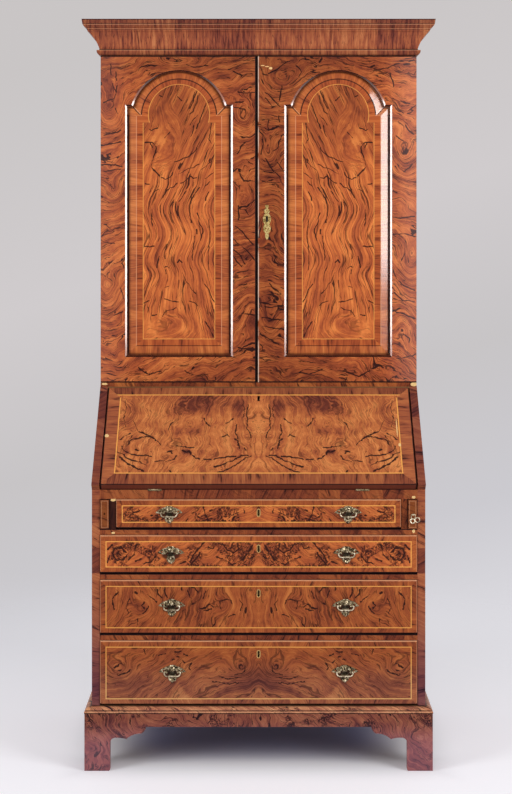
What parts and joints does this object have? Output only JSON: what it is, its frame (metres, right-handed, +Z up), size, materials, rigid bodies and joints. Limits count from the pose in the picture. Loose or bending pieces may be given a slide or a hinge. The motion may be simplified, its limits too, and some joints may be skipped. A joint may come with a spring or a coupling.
{
  "type": "bureau cabinet",
  "caption": "Walnut bureau cabinet: arched-panel doors over a slant fall with a fitted writing inside, lopers, graduated drawers with brass handles, on bracket feet.",
  "frame": {"origin": "on the floor, at the middle of the bounding box seen from above", "axes": "+Z up, front towards -Y, +X to the viewer's right"},
  "size_m": [1.042, 0.5521, 2.14],
  "materials": {
    "walnut": "polished figured veneer",
    "walnut_fittings": "waxed",
    "oak": "dry, aged",
    "pine": "rough, aged",
    "brass": "aged and dull",
    "iron": "dark, aged"
  },
  "bodies": {
    "case": {"bracket_feet": "walnut", "plinth_frieze": "walnut", "plinth_moulding": "walnut", "base_sides": "walnut", "base_bottom": "oak", "base_back": "pine", "drawer_rails": "walnut", "dust_boards": "pine", "loper_partitions": "oak", "writing_bed": "walnut_fittings", "bureau_top": "oak", "lock_rail": "walnut_fittings", "pigeonhole_boards": "walnut_fittings", "bed_hinge_leaves": "brass", "cabinet_bottom": "walnut", "cabinet_top": "oak", "cabinet_sides": "walnut", "cabinet_back": "pine", "shelves": "oak", "cornice": "walnut", "door_pin_plates": "brass"},
    "door_left": {"door_left_frame": "walnut", "door_left_panel": "walnut", "door_left_bead": "walnut", "door_left_pins": "brass"},
    "door_right": {"door_right_frame": "walnut", "door_right_panel": "walnut", "door_right_bead": "walnut", "door_right_pins": "brass", "door_right_escutcheon": "brass", "door_right_lock": "iron"},
    "fall": {"fall_board": "walnut", "fall_hinge_leaves": "brass", "fall_lock": "iron"},
    "loper_left": {"loper_left": "walnut"},
    "loper_right": {"loper_right": "walnut", "loper_post": "brass"},
    "loper_pull": {"loper_pull": "brass"},
    "drawer_1": {"drawer_1_front": "walnut", "drawer_1_box": "oak", "drawer_1_brasses": "brass"},
    "drawer_2": {"drawer_2_front": "walnut", "drawer_2_box": "oak", "drawer_2_brasses": "brass"},
    "drawer_3": {"drawer_3_front": "walnut", "drawer_3_box": "oak", "drawer_3_brasses": "brass"},
    "drawer_4": {"drawer_4_front": "walnut", "drawer_4_box": "oak", "drawer_4_brasses": "brass"},
    "drawer_1_bail_left": {"drawer_1_bail_left": "brass"},
    "drawer_1_bail_right": {"drawer_1_bail_right": "brass"},
    "drawer_2_bail_right": {"drawer_2_bail_right": "brass"},
    "drawer_3_bail_left": {"drawer_3_bail_left": "brass"},
    "drawer_3_bail_right": {"drawer_3_bail_right": "brass"},
    "drawer_4_bail_left": {"drawer_4_bail_left": "brass"},
    "drawer_4_bail_right": {"drawer_4_bail_right": "brass"},
    "inner_drawer_left": {"inner_drawer_left": "walnut_fittings"},
    "inner_drawer_middle": {"inner_drawer_middle": "walnut_fittings"},
    "inner_drawer_right": {"inner_drawer_right": "walnut_fittings"}
  },
  "joints": [
    {"name": "door_left_hinge", "type": "hinge", "parent": "case", "child": "door_left", "pos_m": [-0.465, -0.00298, 1.5515], "axis": [0, 0, -1], "range_deg": [0, 170]},
    {"name": "door_right_hinge", "type": "hinge", "parent": "case", "child": "door_right", "pos_m": [0.465, -0.00298, 1.5515], "axis": [0, 0, 1], "range_deg": [0, 170]},
    {"name": "fall_hinge", "type": "hinge", "parent": "case", "child": "fall", "pos_m": [0, -0.25445, 0.786], "axis": [1, 0, 0], "range_deg": [0, 135]},
    {"name": "loper_left_slide", "type": "slide", "parent": "case", "child": "loper_left", "axis": [0, -1, 0], "range_m": [0, 0.3]},
    {"name": "loper_right_slide", "type": "slide", "parent": "case", "child": "loper_right", "axis": [0, -1, 0], "range_m": [0, 0.3]},
    {"name": "loper_pull_swing", "type": "hinge", "parent": "loper_right", "child": "loper_pull", "pos_m": [0.43453, -0.26845, 0.71834], "axis": [-1, 0, 0], "range_deg": [-10, 90]},
    {"name": "drawer_1_slide", "type": "slide", "parent": "case", "child": "drawer_1", "axis": [0, -1, 0], "range_m": [0, 0.36]},
    {"name": "drawer_2_slide", "type": "slide", "parent": "case", "child": "drawer_2", "axis": [0, -1, 0], "range_m": [0, 0.36]},
    {"name": "drawer_3_slide", "type": "slide", "parent": "case", "child": "drawer_3", "axis": [0, -1, 0], "range_m": [0, 0.36]},
    {"name": "drawer_4_slide", "type": "slide", "parent": "case", "child": "drawer_4", "axis": [0, -1, 0], "range_m": [0, 0.36]},
    {"name": "drawer_1_bail_left_swing", "type": "hinge", "parent": "drawer_1", "child": "drawer_1_bail_left", "pos_m": [-0.252, -0.27225, 0.7245], "axis": [-1, 0, 0], "range_deg": [-30, 80]},
    {"name": "drawer_1_bail_right_swing", "type": "hinge", "parent": "drawer_1", "child": "drawer_1_bail_right", "pos_m": [0.252, -0.27225, 0.7245], "axis": [-1, 0, 0], "range_deg": [-30, 80]},
    {"name": "drawer_2_bail_right_swing", "type": "hinge", "parent": "drawer_2", "child": "drawer_2_bail_right", "pos_m": [0.247, -0.27225, 0.611], "axis": [-1, 0, 0], "range_deg": [-30, 80]},
    {"name": "drawer_3_bail_left_swing", "type": "hinge", "parent": "drawer_3", "child": "drawer_3_bail_left", "pos_m": [-0.2445, -0.27225, 0.4625], "axis": [-1, 0, 0], "range_deg": [-30, 80]},
    {"name": "drawer_3_bail_right_swing", "type": "hinge", "parent": "drawer_3", "child": "drawer_3_bail_right", "pos_m": [0.2445, -0.27225, 0.4625], "axis": [-1, 0, 0], "range_deg": [-30, 80]},
    {"name": "drawer_4_bail_left_swing", "type": "hinge", "parent": "drawer_4", "child": "drawer_4_bail_left", "pos_m": [-0.2425, -0.27225, 0.277], "axis": [-1, 0, 0], "range_deg": [-30, 80]},
    {"name": "drawer_4_bail_right_swing", "type": "hinge", "parent": "drawer_4", "child": "drawer_4_bail_right", "pos_m": [0.2425, -0.27225, 0.277], "axis": [-1, 0, 0], "range_deg": [-30, 80]},
    {"name": "inner_drawer_left_slide", "type": "slide", "parent": "case", "child": "inner_drawer_left", "axis": [0, -1, 0], "range_m": [0, 0.17]},
    {"name": "inner_drawer_middle_slide", "type": "slide", "parent": "case", "child": "inner_drawer_middle", "axis": [0, -1, 0], "range_m": [0, 0.17]},
    {"name": "inner_drawer_right_slide", "type": "slide", "parent": "case", "child": "inner_drawer_right", "axis": [0, -1, 0], "range_m": [0, 0.17]}
  ]
}
